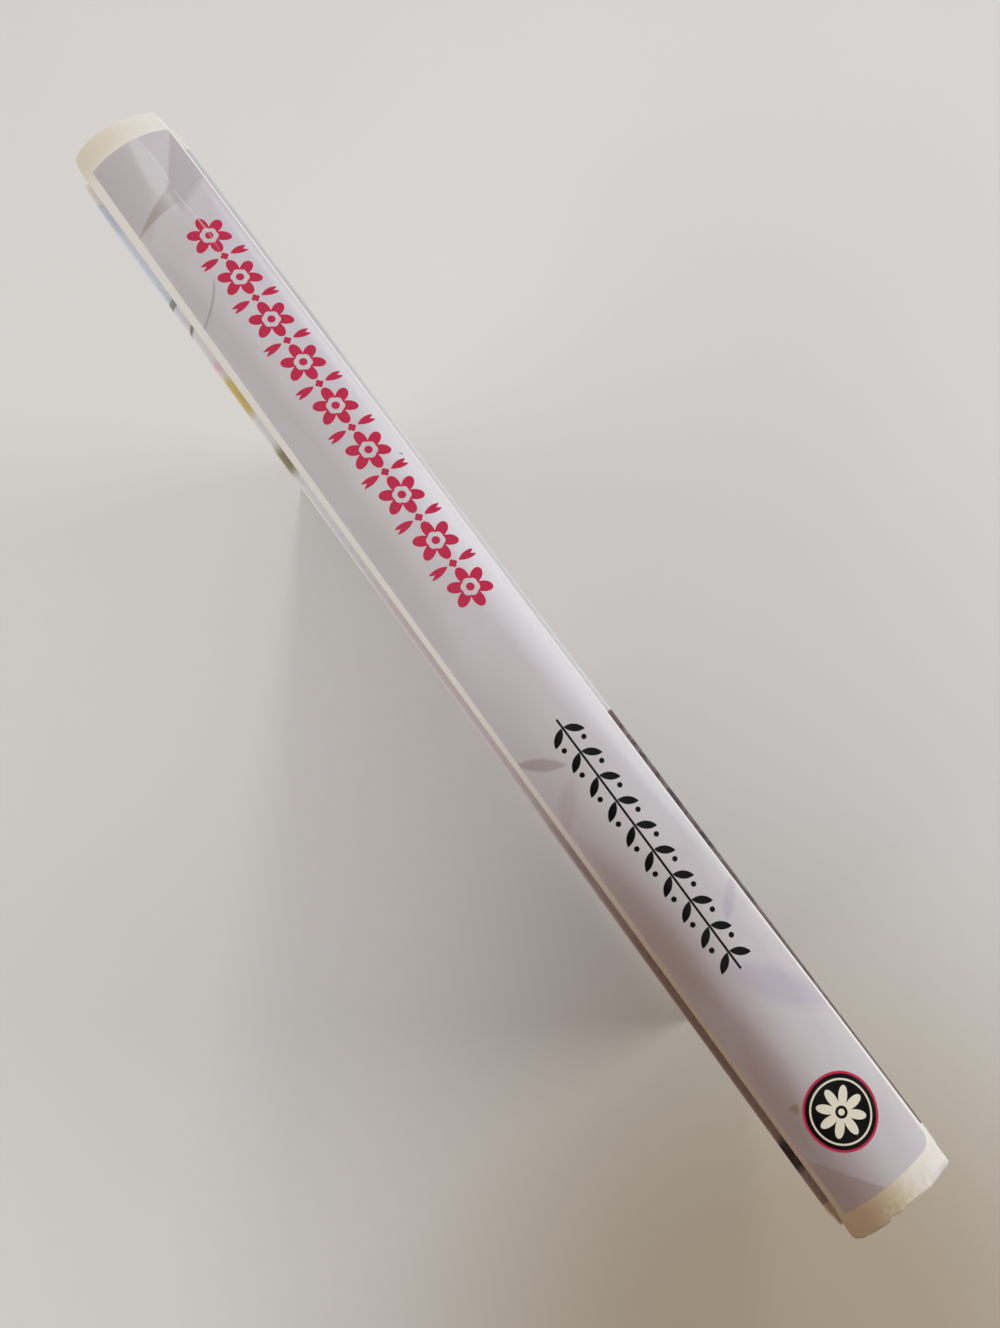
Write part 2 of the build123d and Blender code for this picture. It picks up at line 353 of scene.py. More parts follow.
def make_cover_covering(name, side, material):
    """Covering paper of one cover: groove, joint edge, outer face, and edges turned in with mitred corners."""
    path = [
        (spine_half, hinge_z), (groove_y, groove_z), (root_y, joint_edge_z), (cover_outer, joint_edge_z),
        (cover_outer, 0), (cover_inner, 0), (cover_inner, turn_in),
    ]
    parts = rounded_path(path, (0, 1.6, 0.4, edge_radius, edge_radius, edge_radius, 0), (5, 5, 5, 49, 5, 9))
    # Parts in order: strip, bend, groove, bend, joint edge, bend, face, bend, fore edge, bend, turned-in edge
    cuts = ((0, 3), (3, 6), (6, 7), (7, 10), (10, 11))
    flap, edge, face, fore, turned = (join_parts(parts[a:b]) for a, b in cuts)
    flap_s = path_length(flap, hinge_s)
    edge_s = path_length(edge, flap_s[-1])
    face_s = path_length(face, edge_s[-1])
    fore_s = path_length(fore, face_s[-1])
    turned_s = path_length(turned, fore_s[-1])
    x = x_share[None, :] * (half_length - mitre_gap - turned[1])[:, None]
    rounded = (2 * edge_radius, edge_radius, edge_radius, quarter_steps)
    patches = [
        wrapped(flap, flap_s, lap_depth, lap_depth / 2, turn_in),
        wrapped(edge, edge_s, *rounded),
        wrapped(face, face_s, cover_outer - cover_inner, edge_radius, np.minimum(turn_in, face[1])),
        wrapped(fore, fore_s, *rounded),
        (spread(x, turned[0][:, None], turned[1][:, None]), spread(x, turned_s[:, None])),
    ]
    patches = [(wear_cover(grid, side), sheet * (1, side)) for grid, sheet in patches]
    piece = make_piece(name, patches, material, flip=side < 0)
    give_thickness(piece, paper)
    return piece


def wear_cover(grid, side):
    """Rounds a cover's corners, pinches the two beside the spine, and puts the grid on its side of the book."""
    for radii in ((2.2, 1.4), (1.6, 1.2)):
        for end, radius in zip((1, -1), radii):
            grid = round_corner(grid, (0, 2), (end * half_length, joint_edge_z), radius)
        grid[..., 2] = joint_edge_z - grid[..., 2]
    for end, pinch, reach in ((1, tail_pinch[side], 6.5), (-1, 0.4, 8.0)):
        away = np.hypot(end * half_length - grid[..., 0], joint_edge_z - grid[..., 2])
        outer = (grid[..., 1] - cover_inner) / (cover_outer - cover_inner)
        grid[..., 1] -= pinch * smooth(reach, 0, away) * np.clip(outer, 0, 1)
    grid[..., 1] *= side
    return grid


def make_board(name, side, material):
    """Board of one cover: a slab with chamfered edges, bumped at its corners as its paper is."""
    edge = board_chamfer
    z_low, z_top = board_low[2], board_high[2]
    rows = np.r_[np.linspace(0, 0.95, 12), np.linspace(0.958, 1, 8)]
    outer = np.r_[z_low, z_low + edge + (z_top - z_low - 2 * edge) * rows, z_top]
    depth = np.r_[edge, 0 * rows, edge]
    loop_y = np.r_[board_high[1] - depth, board_low[1] + depth[::-1]]
    loop_z = np.r_[outer, outer[::-1]]
    loop_y, loop_z = np.append(loop_y, loop_y[0]), np.append(loop_z, loop_z[0])
    x = np.r_[board_low[0], x_share * (board_high[0] - edge), board_high[0]]
    shrink = np.r_[edge, 0 * x_share, edge][None, :]
    off_y, off_z = loop_y - (board_low[1] + board_high[1]) / 2, loop_z - (z_low + z_top) / 2
    near_edge = np.abs(off_z) > (z_top - z_low) / 2 - 1.5 * edge
    y = loop_y[:, None] - shrink * np.sign(off_y)[:, None]
    z = loop_z[:, None] - shrink * (near_edge * np.sign(off_z))[:, None]
    grid = spread(x, y, z)
    count = len(outer)
    patches = [grid] + [np.stack([grid[:count, k], grid[2 * count - 1:count - 1:-1, k]], 1) for k in (0, -1)]
    worn = [wear_cover(patch, side) for patch in patches]
    return make_piece(name, [(patch, patch[..., ::2]) for patch in worn], material, closed=True)


# Endpapers


def lean_y(depth, z):
    """Y at which a layer on the block's side lies: upright past the boards, then leaning out to the shoulder."""
    slope = (shoulder_half - block_half) / (shoulder_z - joint_edge_z)
    return block_half + depth + np.maximum(z - joint_edge_z, 0) * slope


def make_pastedown(name, side, material):
    """Pasted leaf of the endpaper: flat on the board, pressed down inside the turned-in edges, then up to the
    shoulder."""
    steps = np.array([0, 0.3, 0.7, 1.0])
    inner_x, lap_z = half_length - turn_in, 162.3
    x_half = np.r_[np.linspace(0, inner_x - 1, 18), inner_x - 1 + steps[1:],
                   inner_x + 2, block_half_length - 4, block_half_length]
    x = np.r_[-x_half[:0:-1], x_half]
    z = np.r_[block_foot, block_foot + 4, turn_in - 1 + steps, np.linspace(turn_in + 3, 162, 20), lap_z + steps,
              np.linspace(166, joint_edge_z, 10)[:-1], np.linspace(joint_edge_z, shoulder_z - 0.05, 12)]
    x, z = np.meshgrid(x, z)
    pressed = smooth(inner_x, inner_x - 1, np.abs(x)) * smooth(turn_in - 1, turn_in, z) * smooth(lap_z + 1, lap_z, z)
    grid = spread(x, side * (lean_y(pasted_depth, z) + press_depth * pressed), z)
    piece = make_piece(name, [(grid, grid[..., ::2])], material, flip=side < 0)
    give_thickness(piece, leaf_thickness)
    return piece


# Page block


def make_page_block(material):
    """Leaves in sewn sections. Each leaf's edge is a ridge between two fine grooves. Across the block a leaf lies at
    a share f of the half thickness, and its edge runs down the head, along the hollow fore edge and up the tail."""
    draw = np.random.default_rng(7)
    sections, leaves = 12, 16
    count = sections * leaves
    back_angle = math.asin(shoulder_half / section_valley)
    edge = np.linspace(-1, 1, count + 1)
    middle = (edge[1:] + edge[:-1]) / 2
    f = np.sort(np.r_[edge, middle])
    ridge = np.zeros(len(f))
    outset = 0.05 * draw.standard_normal(count) + np.repeat(0.06 * draw.standard_normal(sections), leaves)
    ridge[1::2] = np.clip(outset, -0.16, 0.1)
    ridge[0::2] = np.minimum(np.r_[0, ridge[1::2]], np.r_[ridge[1::2], 0]) - 0.05
    section = (f + 1) / 2 * sections
    ridge -= 0.12 * (np.abs((section + 0.5) % 1 - 0.5) < 0.004 * sections)
    radius = section_valley + (section_crest - section_valley) * np.abs(np.sin(section * math.pi))
    back_y = radius * np.sin(f * back_angle)
    back_z = arc_z + radius * np.cos(f * back_angle)
    lean_z = joint_edge_z + 0.1
    hollow = np.sqrt(section_valley**2 - (f * block_half) ** 2) - math.sqrt(section_valley**2 - block_half**2)
    fore_z = block_foot + hollow
    down = np.r_[np.linspace(0, 1, 7), 1 + np.linspace(0, 1, 15)[1:]][:, None]
    t_fan, t_flat = np.clip(down, 0, 1), np.clip(down - 1, 0, 1)
    y_side = back_y + (f * block_half - back_y) * t_fan
    z_side = back_z + (lean_z - back_z) * t_fan + (fore_z - ridge - lean_z) * t_flat
    wave = 0.05 * np.sin(z_side / 23 + 2 * f) + 0.04 * np.sin(z_side / 9.7 + 5 * f)
    end_x = block_half_length - 0.1 + np.minimum(ridge + wave * smooth(0, 0.4, t_flat), 0.1)
    head = spread(-end_x, y_side, z_side)
    tail = spread(end_x, y_side, z_side)[::-1]
    share = np.linspace(-1, 1, 26)[1:-1, None]
    fore_wave = 0.05 * np.sin(share * 5 + 3 * f) + 0.04 * np.sin(share * 13 - 4 * f)
    fore = spread(share * end_x[-1], f * block_half, fore_z - ridge - np.minimum(fore_wave, 0.05))
    back = spread(np.linspace(1, -1, 9)[1:-1, None] * end_x[0], back_y, back_z)
    loop = np.r_[head, fore, tail, back, head[:1]]
    loop[..., 2] = np.maximum(loop[..., 2], block_foot)
    run = path_length(loop[:, len(f) // 2, ::2].T, 0)
    patches = [(loop, spread((f * block_half)[None, :], run[:, None]))]
    for column, flip in ((0, False), (-1, True)):
        face = np.stack([head[:, column], tail[::-1, column]], 1)
        share = np.linspace(0, 1, 26)[None, :, None]
        face = face[:, :1] + (face[:, 1:] - face[:, :1]) * share
        face[-1] = np.r_[head[-1:, column], fore[:, column], tail[:1, column]]
        if flip:
            face = face[:, ::-1]
        patches.append((face, face[..., ::2]))
    piece = make_piece("leaves", patches, material, closed=True)
    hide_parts("page_block")
    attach(piece, "book_block")


# Headbands


def make_headband(name, node, end, material):
    """Sewn headband: a bead carried round the block's back, wound with thread, and its tape under the lining."""
    bead, wraps, stand_off = 0.86, 38, 0.9
    half_angle = math.asin(shoulder_half / section_valley) * 0.985
    along = np.linspace(-half_angle, half_angle, wraps * 8 + 1)[:, None]
    around = np.linspace(0, 2 * math.pi, 25)[None, :]
    phase = (along / half_angle + 1) / 2 * wraps
    thread = np.abs(np.sin(math.pi * (phase + around / (4 * math.pi))))
    taper = np.sqrt(np.clip(1 - np.abs(along / half_angle) ** 40, 0, 1))
    r = bead * (0.86 + 0.14 * thread) * taper
    radius = section_crest - 0.3 + r * np.cos(around)
    x = end * np.maximum(block_half_length + stand_off + r * np.sin(around), block_half_length + 0.02)
    grid = spread(x, radius * np.sin(along), arc_z + radius * np.cos(along))
    sheet = spread(phase, around * 0.15)
    tape_x = end * (block_half_length - np.linspace(0, 12, 5))
    angle = np.linspace(-half_angle, half_angle, 40)[:, None]
    under, top = (spread(tape_x, out * np.sin(angle), arc_z + out * np.cos(angle))
                  for out in (section_crest + 0.08, section_crest + 0.3))
    tape = np.r_[top, under[::-1], top[:1]]
    caps = [np.stack([under[:, k], top[:, k]], 0) for k in (0, -1)]
    patches = [(grid, sheet), (tape, tape[..., :2])] + [(c, c[..., :2]) for c in caps]
    piece = make_piece(name, patches, material, closed=True)
    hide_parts(node)
    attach(piece, "book_block")


# Materials


def sign(operation, swapped=False):
    """What a sign does between a value and another, or between another and a value: one math node."""
    if swapped:
        return lambda value, other: value.nodes.math(operation, other, value)
    return lambda value, *others: value.nodes.math(operation, value, *others)


class Value:
    """Output of a shader node that takes part in sums like a number."""

    def __init__(self, nodes, socket):
        self.nodes = nodes
        self.socket = socket

    __add__, __radd__ = sign("ADD"), sign("ADD", True)
    __sub__, __rsub__ = sign("SUBTRACT"), sign("SUBTRACT", True)
    __mul__, __rmul__ = sign("MULTIPLY"), sign("MULTIPLY", True)
    __truediv__, __pow__, __mod__ = sign("DIVIDE"), sign("POWER"), sign("FLOORED_MODULO")
    __gt__, __lt__, __abs__ = sign("GREATER_THAN"), sign("LESS_THAN"), sign("ABSOLUTE")


class Nodes:
    """Short words for building a node tree."""

    def __init__(self, tree):
        self.tree = tree

    def add(self, kind, **settings):
        node = self.tree.nodes.new(kind)
        for key, value in settings.items():
            setattr(node, key, value)
        return node

    def out(self, node, socket=0):
        return Value(self, node.outputs[socket])

    def put(self, node, **values):
        """Sets or links a node's inputs by name, with _ for a space."""
        for key, value in values.items():
            self.fill(node.inputs[key.replace("_", " ")], value)

    def fill(self, socket, value):
        if isinstance(value, Value):
            self.tree.links.new(value.socket, socket)
        else:
            socket.default_value = value

    def made(self, node, *values):
        """Fills a node's first inputs in order and gives its first output."""
        for socket, value in zip(node.inputs, values):
            self.fill(socket, value)
        return self.out(node)

    def math(self, operation, *values):
        return self.made(self.add("ShaderNodeMath", operation=operation), *values)

    def most(self, *values):
        return functools.reduce(lambda a, b: self.math("MAXIMUM", a, b), values)

    def least(self, *values):
        return functools.reduce(lambda a, b: self.math("MINIMUM", a, b), values)

    def length(self, a, b):
        """sqrt(a * a + b * b)"""
        return self.math("SQRT", a * a + b * b)

    def step(self, low, high, value):
        """Smooth step of a value from 0 at low to 1 at high. It falls where low is above high."""
        return self.made(self.add("ShaderNodeMapRange", interpolation_type="SMOOTHSTEP"), value, low, high)

    def span(self, value, a, b, c, d):
        """Soft span of a value: rises from a to b and falls from c to d."""
        return self.step(a, b, value) * self.step(d, c, value)

    def mix(self, share, a, b, blend="MIX"):
        """Mix of two colours, each a value, a linear colour, or the three screen values of an ink."""
        node = self.add("ShaderNodeMix", data_type="RGBA", blend_type=blend)
        self.fill(node.inputs["Factor"], share)
        for socket, colour in ((6, a), (7, b)):
            is_ink = isinstance(colour, tuple) and len(colour) == 3
            self.fill(node.inputs[socket], ink(*colour) if is_ink else colour)
        return self.out(node, 2)

    def laid(self, colour, *marks):
        """Colour with marks laid over it in order, each a mask, its share and its ink."""
        for mask, share, tint in marks:
            colour = self.mix(mask * share, colour, tint)
        return colour

    def join(self, x, y, z=0):
        return self.made(self.add("ShaderNodeCombineXYZ"), x, y, z)

    def split(self, vector):
        node = self.add("ShaderNodeSeparateXYZ")
        self.put(node, Vector=vector)
        return [self.out(node, k) for k in range(3)]

    def noise(self, vector, scale, detail=4, rough=0.55, distortion=0):
        node = self.add("ShaderNodeTexNoise")
        self.put(node, Vector=vector, Scale=scale, Detail=detail, Roughness=rough, Distortion=distortion)
        return self.out(node, "Fac")

    def bump(self, height, strength, distance):
        node = self.add("ShaderNodeBump")
        self.put(node, Height=height, Strength=strength, Distance=distance)
        return self.out(node)

    def group(self, tree, **values):
        node = self.add("ShaderNodeGroup", node_tree=tree)
        self.put(node, **values)
        return self.out(node)

    def grain(self, place, fibre):
        """Height and tone of the paper's grain."""
        node = self.add("ShaderNodeGroup", node_tree=grain_tree)
        self.put(node, Place=place, Fibre=fibre)
        return self.out(node, "Height"), self.out(node, "Tone")

    def in_millimetres(self, place):
        node = self.add("ShaderNodeVectorMath", operation="SCALE")
        self.put(node, Vector=place, Scale=1 / MM)
        return self.out(node)

    def sheet_place(self):
        """Place on the flat sheet in millimetres: x along the book, y across it from the spine's crown."""
        return self.in_millimetres(self.out(self.add("ShaderNodeUVMap", uv_map="sheet")))

    def object_place(self):
        """Object coordinates in millimetres."""
        return self.in_millimetres(self.out(self.add("ShaderNodeTexCoord"), "Object"))


def ink(red, green, blue):
    """Linear colour of an ink that is given as screen values from 0 to 255."""
    linear = [((v / 255 + 0.055) / 1.055) ** 2.4 if v > 10 else v / 255 / 12.92 for v in (red, green, blue)]
    return (*linear, 1)


def new_group(name, numbers, results):
    """Empty shader group that takes a place and named numbers. Gives its words, its inputs by name, and its end."""
    tree = bpy.data.node_groups.new(name, "ShaderNodeTree")
    n = Nodes(tree)
    tree.interface.new_socket("Place", in_out="INPUT", socket_type="NodeSocketVector")
    for key in numbers:
        tree.interface.new_socket(key, in_out="INPUT", socket_type="NodeSocketFloat")
    for key in results:
        tree.interface.new_socket(key, in_out="OUTPUT", socket_type="NodeSocketFloat")
    start = n.add("NodeGroupInput")
    return n, {key: n.out(start, key) for key in ("Place", *numbers)}, n.add("NodeGroupOutput")


def mask_group(name, numbers, mask):
    """Shader group for the mask of a shape about a middle X, Y. The mask is a function of the words, of the place
    from the middle and of the group's inputs."""
    n, given, end = new_group(name, ["X", "Y", *numbers], ["Mask"])
    x, y, _ = n.split(given["Place"])
    n.put(end, Mask=mask(n, x - given["X"], y - given["Y"], given))
    return n.tree


def petal_mask(n, x, y, given):
    """Pointed petal: where two circles overlap, turned by an angle."""
    c, s = n.math("COSINE", given["Turn"]), n.math("SINE", given["Turn"])
    a, b = given["Length"] * 0.5, given["Width"] * 0.5
    radius = (a * a + b * b) / (b * 2)
    off = abs(y * c - x * s) + (radius - b)
    return n.step(given["Soft"] * -1, given["Soft"], radius - n.length(x * c + y * s, off))


def flower_mask(n, x, y, given):
    """Round flower with lobes: radius = size * (1 - notch * (1 - |cos(lobes * angle / 2)|)). Without a notch it is a
    disc."""
    lobe = abs(n.math("COSINE", n.math("ARCTAN2", y, x) * given["Lobes"] * 0.5))
    rim = given["Size"] * (1 - given["Notch"] * (1 - lobe))
    return n.step(given["Soft"] * -1, given["Soft"], rim - n.length(x, y))


def stem_mask(n, x, y, given):
    """Thin line along a circle."""
    return n.step(given["Line"] + given["Soft"], given["Line"], abs(n.length(x, y) - given["Radius"]))


def grain_group():
    """Fine paper fibre and a slow change of tone, in millimetres. Gives a height and a tone about one half."""
    n, given, end = new_group("paper_grain", ["Fibre"], ["Height", "Tone"])
    place = given["Place"]
    n.put(end, Height=n.noise(place, given["Fibre"], 3, 0.6), Tone=n.noise(place, 0.06, 3, 0.5))
    return n.tree


petal_tree = mask_group("petal", ["Turn", "Length", "Width", "Soft"], petal_mask)
flower_tree = mask_group("flower", ["Size", "Lobes", "Notch", "Soft"], flower_mask)
stem_tree = mask_group("stem", ["Radius", "Line", "Soft"], stem_mask)
grain_tree = grain_group()


def petal_at(n, place, x, y, turn, length, width, soft=0.4):
    """Mask of one petal, turned in degrees."""
    return n.group(petal_tree, Place=place, X=x, Y=y, Turn=math.radians(turn), Length=length, Width=width, Soft=soft)


def flower_at(n, place, size, lobes=8, notch=0, x=0, y=0, soft=0.05):
    """Mask of one flower, or of one disc."""
    return n.group(flower_tree, Place=place, X=x, Y=y, Size=size, Lobes=lobes, Notch=notch, Soft=soft)


def stem_at(n, place, x, y, radius, line, soft):
    """Mask of one thin stem."""
    return n.group(stem_tree, Place=place, X=x, Y=y, Radius=radius, Line=line, Soft=soft)


def past_line(n, x, s, start, end, soft):
    """Mask of the side to the left of a line from one place to another."""
    run = math.hypot(end[0] - start[0], end[1] - start[1])
    across, along = (start[1] - end[1]) / run, (end[0] - start[0]) / run
    return n.step(-soft, soft, (x - start[0]) * across + (s - start[1]) * along)


def new_material(name):
    """Empty material and its words."""
    material = bpy.data.materials.new(name)
    material.use_nodes = True
    material.node_tree.nodes.clear()
    return material, Nodes(material.node_tree)


def finished(material, n, **looks):
    """Material with a Principled BSDF of the looks given."""
    shader = n.add("ShaderNodeBsdfPrincipled")
    n.put(shader, **looks)
    n.put(n.add("ShaderNodeOutputMaterial"), Surface=n.out(shader))
    return material


# Places of the print on the sheet, in millimetres
field_head = -119
field_tail = 120.1
field_high = 10.12
panel_head = -118.4
panel_tail = 119.7
panel_edge = 10.6
flowers_head = -98
flowers_tail = 1
flowers_s = 3.1
flowers_repeat = 11
laurel_head = 24.7
laurel_tail = 78.2
laurel_s = 1.2
laurel_repeat = 5.35
rosette_x = 106.5
rosette_s = 0.4

# Inks, as screen values from 0 to 255
cream = (229, 224, 216)
yellowed = (208, 192, 156)
lilac = (194, 187, 189)
crimson = (187, 42, 74)
black_ink = (11, 10, 10)
# White of rubbed paper, also used for the painted highlight along the film's crease
wear_and_highlight_white = (238, 236, 232)


def spine_field(n, place, x, s):
    """Lilac field with soft petals, folds of tone and a thin stem, and a painted highlight along the front side of
    the crown.
    """
    field = n.mix(n.step(0.3, 0.7, n.noise(place, 0.035, 4, 0.6, 0.4)), lilac, (200, 195, 198))
    petals_and_painted_highlights = [
        ((-112, -5, -8, 26, 11, 2), 0.7, (184, 176, 176)),
        ((-110.5, 1.5, -4, 19, 3.6, 1), 0.75, (208, 204, 206)),
        ((-90, 7, -12, 22, 5, 1.5), 0.6, (200, 196, 202)),
        ((-60, 6, 2, 56, 8, 2.5), 0.6, (200, 196, 202)),
        ((-70, -6, 3, 46, 5, 2), 0.5, (184, 176, 174)),
        ((-18, -6, 175, 60, 6, 2.5), 0.5, (190, 181, 178)),
        # The next two light petals are a painted highlight along the front side of the crown, the second along the
        # front fold
        ((0, 7.6, 1, 90, 6.4, 2.5), 0.7, (224, 221, 226)),
        ((-8, 9.6, 0.5, 170, 3.6, 1.6), 0.55, (236, 234, 238)),
        ((29.6, -6, 55, 9.5, 2.3, 0.35), 0.65, (158, 140, 138)),
        ((38.5, -6.6, -44, 11, 3.4, 1), 0.4, (176, 165, 162)),
        ((68, 7.2, -51, 8, 2.2, 0.5), 0.55, (176, 166, 178)),
        ((84.5, 5, 35, 21, 5.4, 1.4), 0.55, (178, 168, 182)),
        ((64, -7, 4, 40, 6, 2), 0.5, (172, 160, 156)),
        ((96, -6, 172, 26, 6, 1.5), 0.45, (176, 166, 162)),
    ]
    field = n.laid(field, *((petal_at(n, place, *shape), share, tint) for shape, share, tint in petals_and_painted_highlights))
    above = n.least(past_line(n, x, s, (-113.5, 7), (-106, 2.1), 0.35), n.step(1, 2.8, s),
                    past_line(n, x, s, (-102.2, 4.9), (-104.3, 8.2), 1))
    wedge = n.least(past_line(n, x, s, (-106, 2.1), (-101.2, -8.6), 0.25),
                    past_line(n, x, s, (-101.1, -8.6), (-102.3, 4.9), 0.3), n.step(4.5, 1.5, s))
    corner = n.least(past_line(n, x, s, (119.9, -1.2), (109.8, -9.2), 0.25), n.step(108, 113, x))
    stem = stem_at(n, place, -91, -14, 14.5, 0.1, 0.3) * n.step(-85, -82, x)
    return n.laid(
        field, (above, 0.75, (176, 167, 170)), (wedge, 0.2 + n.step(2.5, -3.5, s) * 0.42, (150, 137, 133)),
        (corner, 0.55, (158, 143, 142)), (stem, 0.5, (140, 128, 130)),
    )


def repeated(x, start, end, period):
    """Place within one repeat of a row, a mask of the row's length, and one without the half repeat at each end."""
    local = (x - start) % period - period / 2
    return local, *((x > start + cut) * (x < end - cut) for cut in (0, period / 2))


def flower_row(n, x, s):
    """Crimson row of open flowers, with four leaves and a small diamond between each two."""
    local, in_row, between_all = repeated(x, flowers_head, flowers_tail, flowers_repeat)
    y = s - flowers_s
    at = n.join(local, y)
    bloom = flower_at(n, at, 4.35, 6, 0.56) * (1 - flower_at(n, at, 1.8, 6, 0.12))
    between = n.join(abs(local) - flowers_repeat / 2, abs(y))
    leaf = petal_at(n, between, -0.3, 3.2, 98, 3.9, 1, 0.05)
    diamond = flower_at(n, between, 0.85, 4, 0.3)
    return n.most(n.most(bloom, flower_at(n, at, 0.8)) * in_row, n.most(leaf, diamond) * between_all)


def laurel_row(n, x, s):
    """Black laurel: a thin stem with leaves in pairs and a berry between."""
    local, in_row, between_all = repeated(x, laurel_head, laurel_tail, laurel_repeat)
    y = abs(s - laurel_s)
    leaf = petal_at(n, n.join(local, y), 0.35, 1.75, 52, 3.9, 1.45, 0.05)
    berry = flower_at(n, n.join(abs(local) - laurel_repeat / 2, y - 2.2), 0.5)
    return n.most(n.most(leaf, n.step(0.27, 0.17, y)) * in_row, berry * between_all)


def with_rosette(n, field, x, s):
    """Black disc with a crimson rim and a cream flower of eight petals."""
    x, s = x - rosette_x, s - rosette_s
    at = n.join(x, s)
    star = flower_at(n, at, 4.3, 8, 0.62) * (1 - flower_at(n, at, 1.05))
    ring = flower_at(n, n.join(n.length(x, s) - 5.2, 0), 0.16)
    field = n.mix(flower_at(n, at, 6.5), field, crimson)
    field = n.mix(flower_at(n, at, 6.08), field, black_ink)
    return n.mix(n.most(star, flower_at(n, at, 0.55), ring), field, (226, 219, 198))


def field_mask(n, x, s):
    """Inside of the spine's printed field: its back edge bows a little, and its corner at the front of the tail is
    round."""
    t = (x - field_head) / (field_tail - field_head)
    low = t * t * 1.5 - t * 2.6 - 8.4
    high = field_high - n.step(70, 118, x) * 0.25
    dx = x - (field_head + field_tail) / 2
    ds = s - (low + high) * 0.5
    corner = 0.15 + (dx > 0) * (ds > 0) * 2
    out_x = abs(dx) - (field_tail - field_head) / 2 + corner
    out_s = abs(ds) - (high - low) * 0.5 + corner
    away = n.length(n.most(out_x, 0), n.most(out_s, 0)) + n.least(n.most(out_x, out_s), 0) - corner
    return n.step(0.06, -0.05, away)


def make_covering_material():
    """Printed paper under a gloss film: cream ground, the spine's lilac field and ornaments, and a picture on each
    cover."""
    material, n = new_material("covering_paper")
    place = n.sheet_place()
    x, s, _ = n.split(place)
    far = abs(s)
    fibre, tone = n.grain(place, 5)

    # Ground, yellowed towards the two ends, most on the back cover's side, and a painted shade, dark and warm, on
    # the back side from the middle towards the tail
    ends = n.step(115, 122, abs(x)) * (0.5 + (x > 0) * 0.5)
    ends *= 1 - n.step(10.5, 11.5, far) * (x < 0) * 0.7
    old = n.step(9, -8, s) + n.noise(place, 0.35, 4, 0.6) * 0.9
    ground = n.mix(ends * n.step(0.25, 1.4, old), cream, yellowed)
    # Painted shade: the back side, from the middle of the book to the tail, darker and warmer, over the ground and
    # the spine's field
    painted_tail_shade = n.step(2, 78, x) * n.step(4.5, -8, s) * n.step(-60, -25, s)
    ground = n.mix(painted_tail_shade * 0.85, ground, (150, 120, 94))
    field = n.mix(painted_tail_shade * 0.66, spine_field(n, place, x, s), (122, 90, 73))
    field = n.mix(flower_row(n, x, s), field, crimson)
    field = n.mix(laurel_row(n, x, s), field, black_ink)
    colour = n.mix(field_mask(n, x, s), ground, with_rosette(n, field, x, s))

    # Pictures on the covers
    panel = n.span(far, panel_edge - 0.1, panel_edge + 0.1, 200, 200.2)
    panel *= n.span(x, panel_head - 0.1, panel_head + 0.1, panel_tail, panel_tail + 0.2)
    colour = n.mix(panel, colour, n.mix(s > 0, back_picture(n, place, x), front_picture(n, place, x, s)))

    # White worn line on the front fold, scuffs beside it, and rubbed edges
    fold_line = n.step(0.26, 0.1, abs(s - 10.36)) * n.step(0.2, 0.5, n.noise(place, 0.3, 4, 0.6))
    near_scuffs = n.span(x, -12, -6, 10, 16)
    scuff = n.span(s, 8.2, 9.2, 9.8, 10.2) * n.step(0.52, 0.62, n.noise(place, 1.3, 5, 0.7))
    rub_fore_edge = n.span(far, 203, 206, 208.5, 210)
    rub_joint = n.span(far, 16, 16.8, 17.6, 18.6) * 0.15
    rub = n.most(n.step(124.3, 125.3, abs(x)), rub_fore_edge, rub_joint)
    rub *= n.step(0.5, 0.62, n.noise(place, 0.8, 5, 0.7)) * 0.6
    worn = n.most(fold_line * 0.9, scuff * (0.12 + near_scuffs * 0.5), rub)
    colour = n.mix(worn, colour, wear_and_highlight_white)

    # One brown spot, a dark tick, and a thin brown line along the back fold towards the tail
    spot = flower_at(n, place, 0.8, 3, 0.25, 101.7, -5.7, 0.4)
    tick = petal_at(n, place, -33.8, 8.1, 40, 1, 0.35, 0.1)
    brown_line = n.step(0.3, 0.05, abs(s + 10.6)) * n.step(40, 90, x)
    colour = n.laid(colour, (spot, 0.75, (126, 106, 84)), (tick, 0.7, (80, 72, 78)),
                    (brown_line, 0.5, (150, 120, 96)))

    # Long crease in the film, near the head, with a painted highlight along it, and crumpled film at the tail's cap
    crease_s = 3.1 + n.math("SINE", (x + 117) * 0.35) * 0.25
    crease_and_highlight = n.step(0.3, 0, abs(s - crease_s)) * n.span(x, -121, -117.5, -96, -86)
    crease_and_highlight *= n.step(0.3, 0.6, n.noise(place, 0.5, 3, 0.6))
    cap = n.step(121, 124, x) * n.span(s, -5, -2.5, 4, 6.5)
    crumple = n.noise(place, 0.9, 4, 0.65, 1.5)
    flake = cap * n.step(0.5, 0.68, crumple)
    # The light line along the crease is a painted highlight; the crease's relief goes into the height
    colour = n.laid(colour, (crease_and_highlight, 0.35, wear_and_highlight_white), (flake, 0.3, (236, 231, 220)))

    height = fibre * 0.3 + n.noise(place, 0.5, 2, 0.5) + crease_and_highlight * 1.2 + cap * crumple * 2.5
    rough = 0.34 + worn * 0.3 + (tone - 0.5) * 0.1
    return finished(material, n, Base_Color=colour, Roughness=rough, Specular_IOR_Level=0.06, Coat_Weight=0.14,
                    Coat_Roughness=0.16, Normal=n.bump(height, 0.12, 0.0002))


